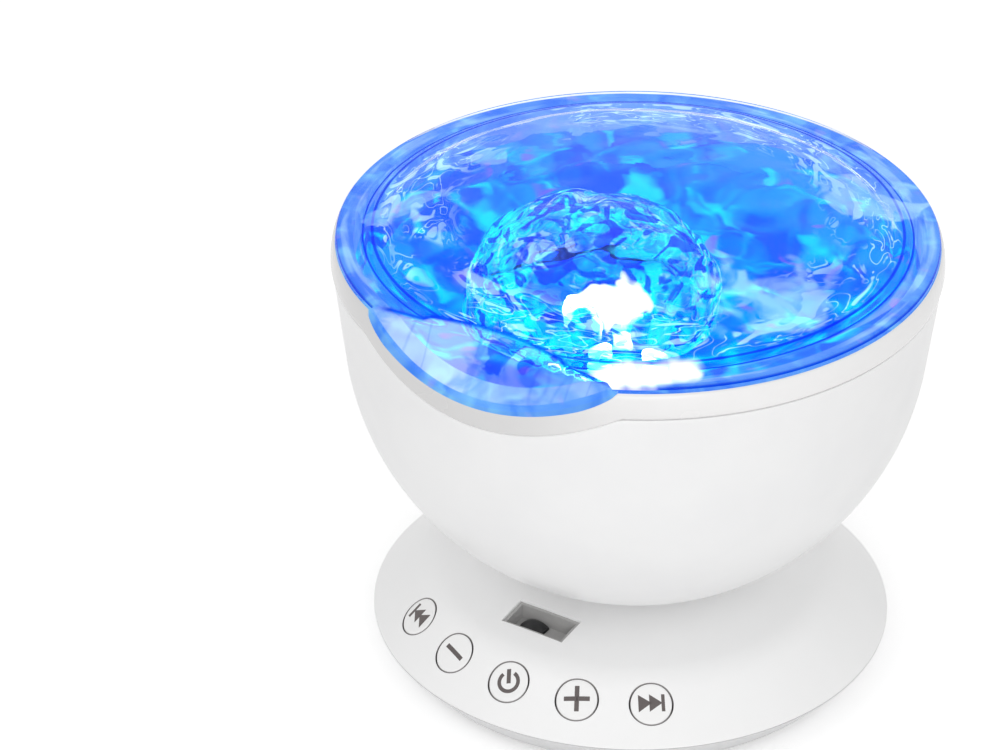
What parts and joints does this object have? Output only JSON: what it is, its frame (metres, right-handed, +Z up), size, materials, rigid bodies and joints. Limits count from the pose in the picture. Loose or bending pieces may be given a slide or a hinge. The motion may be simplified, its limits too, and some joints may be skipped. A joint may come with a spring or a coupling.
{
  "type": "ocean wave projector",
  "caption": "Bowl-shaped night-light projector with a clear rippled cover and a turning wave dome, tilting on a domed base with push keys and a speaker.",
  "frame": {"origin": "on the table under the middle of the base", "axes": "+Z up, keys and wave lip face -Y, sockets face +Y, +X to the right seen from the front"},
  "size_m": [0.1326, 0.1321, 0.1121],
  "materials": {
    "white_shell": "smooth satin gloss",
    "white_trim": "smooth gloss",
    "key_plastic": "fine matt",
    "clear_plastic": "clear polished",
    "reflector": "lit blue by the lamps",
    "inner_plastic": "plain moulded",
    "rubber": "matt",
    "steel": "plated",
    "smoke_plastic": "smoked",
    "black_plastic": "moulded",
    "board": "solder mask",
    "lamp": "lit lamp"
  },
  "bodies": {
    "base": {"base_top": "white_shell", "base_bottom": "white_shell", "seat_ring": "inner_plastic", "tilt_saddle": "inner_plastic", "rubber_feet": "rubber", "base_screws": "steel", "board_screws": "steel", "tilt_stud": "steel", "tilt_spring": "steel", "tilt_nut": "steel", "speaker_frame": "steel", "speaker_magnet": "steel", "usb_socket": "steel", "card_socket": "steel", "ir_bezel": "smoke_plastic", "ir_receiver": "black_plastic", "tact_switches": "black_plastic", "control_chips": "black_plastic", "aux_socket": "black_plastic", "speaker_cone": "black_plastic", "main_board": "board", "port_board": "board"},
    "head": {"bowl_shell": "white_shell", "rim_ring": "white_trim", "clear_cover": "clear_plastic", "light_tray": "reflector", "lamp_chassis": "inner_plastic", "chassis_screws": "steel", "led_board": "board", "leds": "lamp", "gear_retainer": "inner_plastic", "drive_motor": "steel", "motor_screws": "steel"},
    "dome_rotor": {"dome_gear": "inner_plastic", "ripple_dome": "clear_plastic"},
    "pinion": {"motor_shaft": "steel", "motor_pinion": "inner_plastic"},
    "key_previous": {"button_previous": "key_plastic"},
    "key_minus": {"button_minus": "key_plastic"},
    "key_power": {"button_power": "key_plastic"},
    "key_plus": {"button_plus": "key_plastic"},
    "key_next": {"button_next": "key_plastic"}
  },
  "joints": [
    {"name": "head_tilt", "type": "hinge", "parent": "base", "child": "head", "pos_m": [0, 0, 0.08411], "axis": [1, 0, 0], "range_deg": [-15, 15]},
    {"name": "dome_spin", "type": "hinge", "parent": "head", "child": "dome_rotor", "pos_m": [-0.011, 0, 0.072], "axis": [0, 0, 1], "continuous": true},
    {"name": "pinion_spin", "type": "hinge", "parent": "head", "child": "pinion", "pos_m": [0.03025, 0, 0.072], "axis": [0, 0, 1], "continuous": true},
    {"name": "press_previous", "type": "slide", "parent": "base", "child": "key_previous", "axis": [0, 0, -1], "range_m": [0, 0.0007], "stiffness_N_per_m": 900, "springref_m": -0.0002},
    {"name": "press_minus", "type": "slide", "parent": "base", "child": "key_minus", "axis": [0, 0, -1], "range_m": [0, 0.0007], "stiffness_N_per_m": 900, "springref_m": -0.0002},
    {"name": "press_power", "type": "slide", "parent": "base", "child": "key_power", "axis": [0, 0, -1], "range_m": [0, 0.0007], "stiffness_N_per_m": 900, "springref_m": -0.0002},
    {"name": "press_plus", "type": "slide", "parent": "base", "child": "key_plus", "axis": [0, 0, -1], "range_m": [0, 0.0007], "stiffness_N_per_m": 900, "springref_m": -0.0002},
    {"name": "press_next", "type": "slide", "parent": "base", "child": "key_next", "axis": [0, 0, -1], "range_m": [0, 0.0007], "stiffness_N_per_m": 900, "springref_m": -0.0002}
  ],
  "couplings": [
    {"joint": "pinion_spin", "follows": "dome_spin", "ratio": -3.7143}
  ]
}
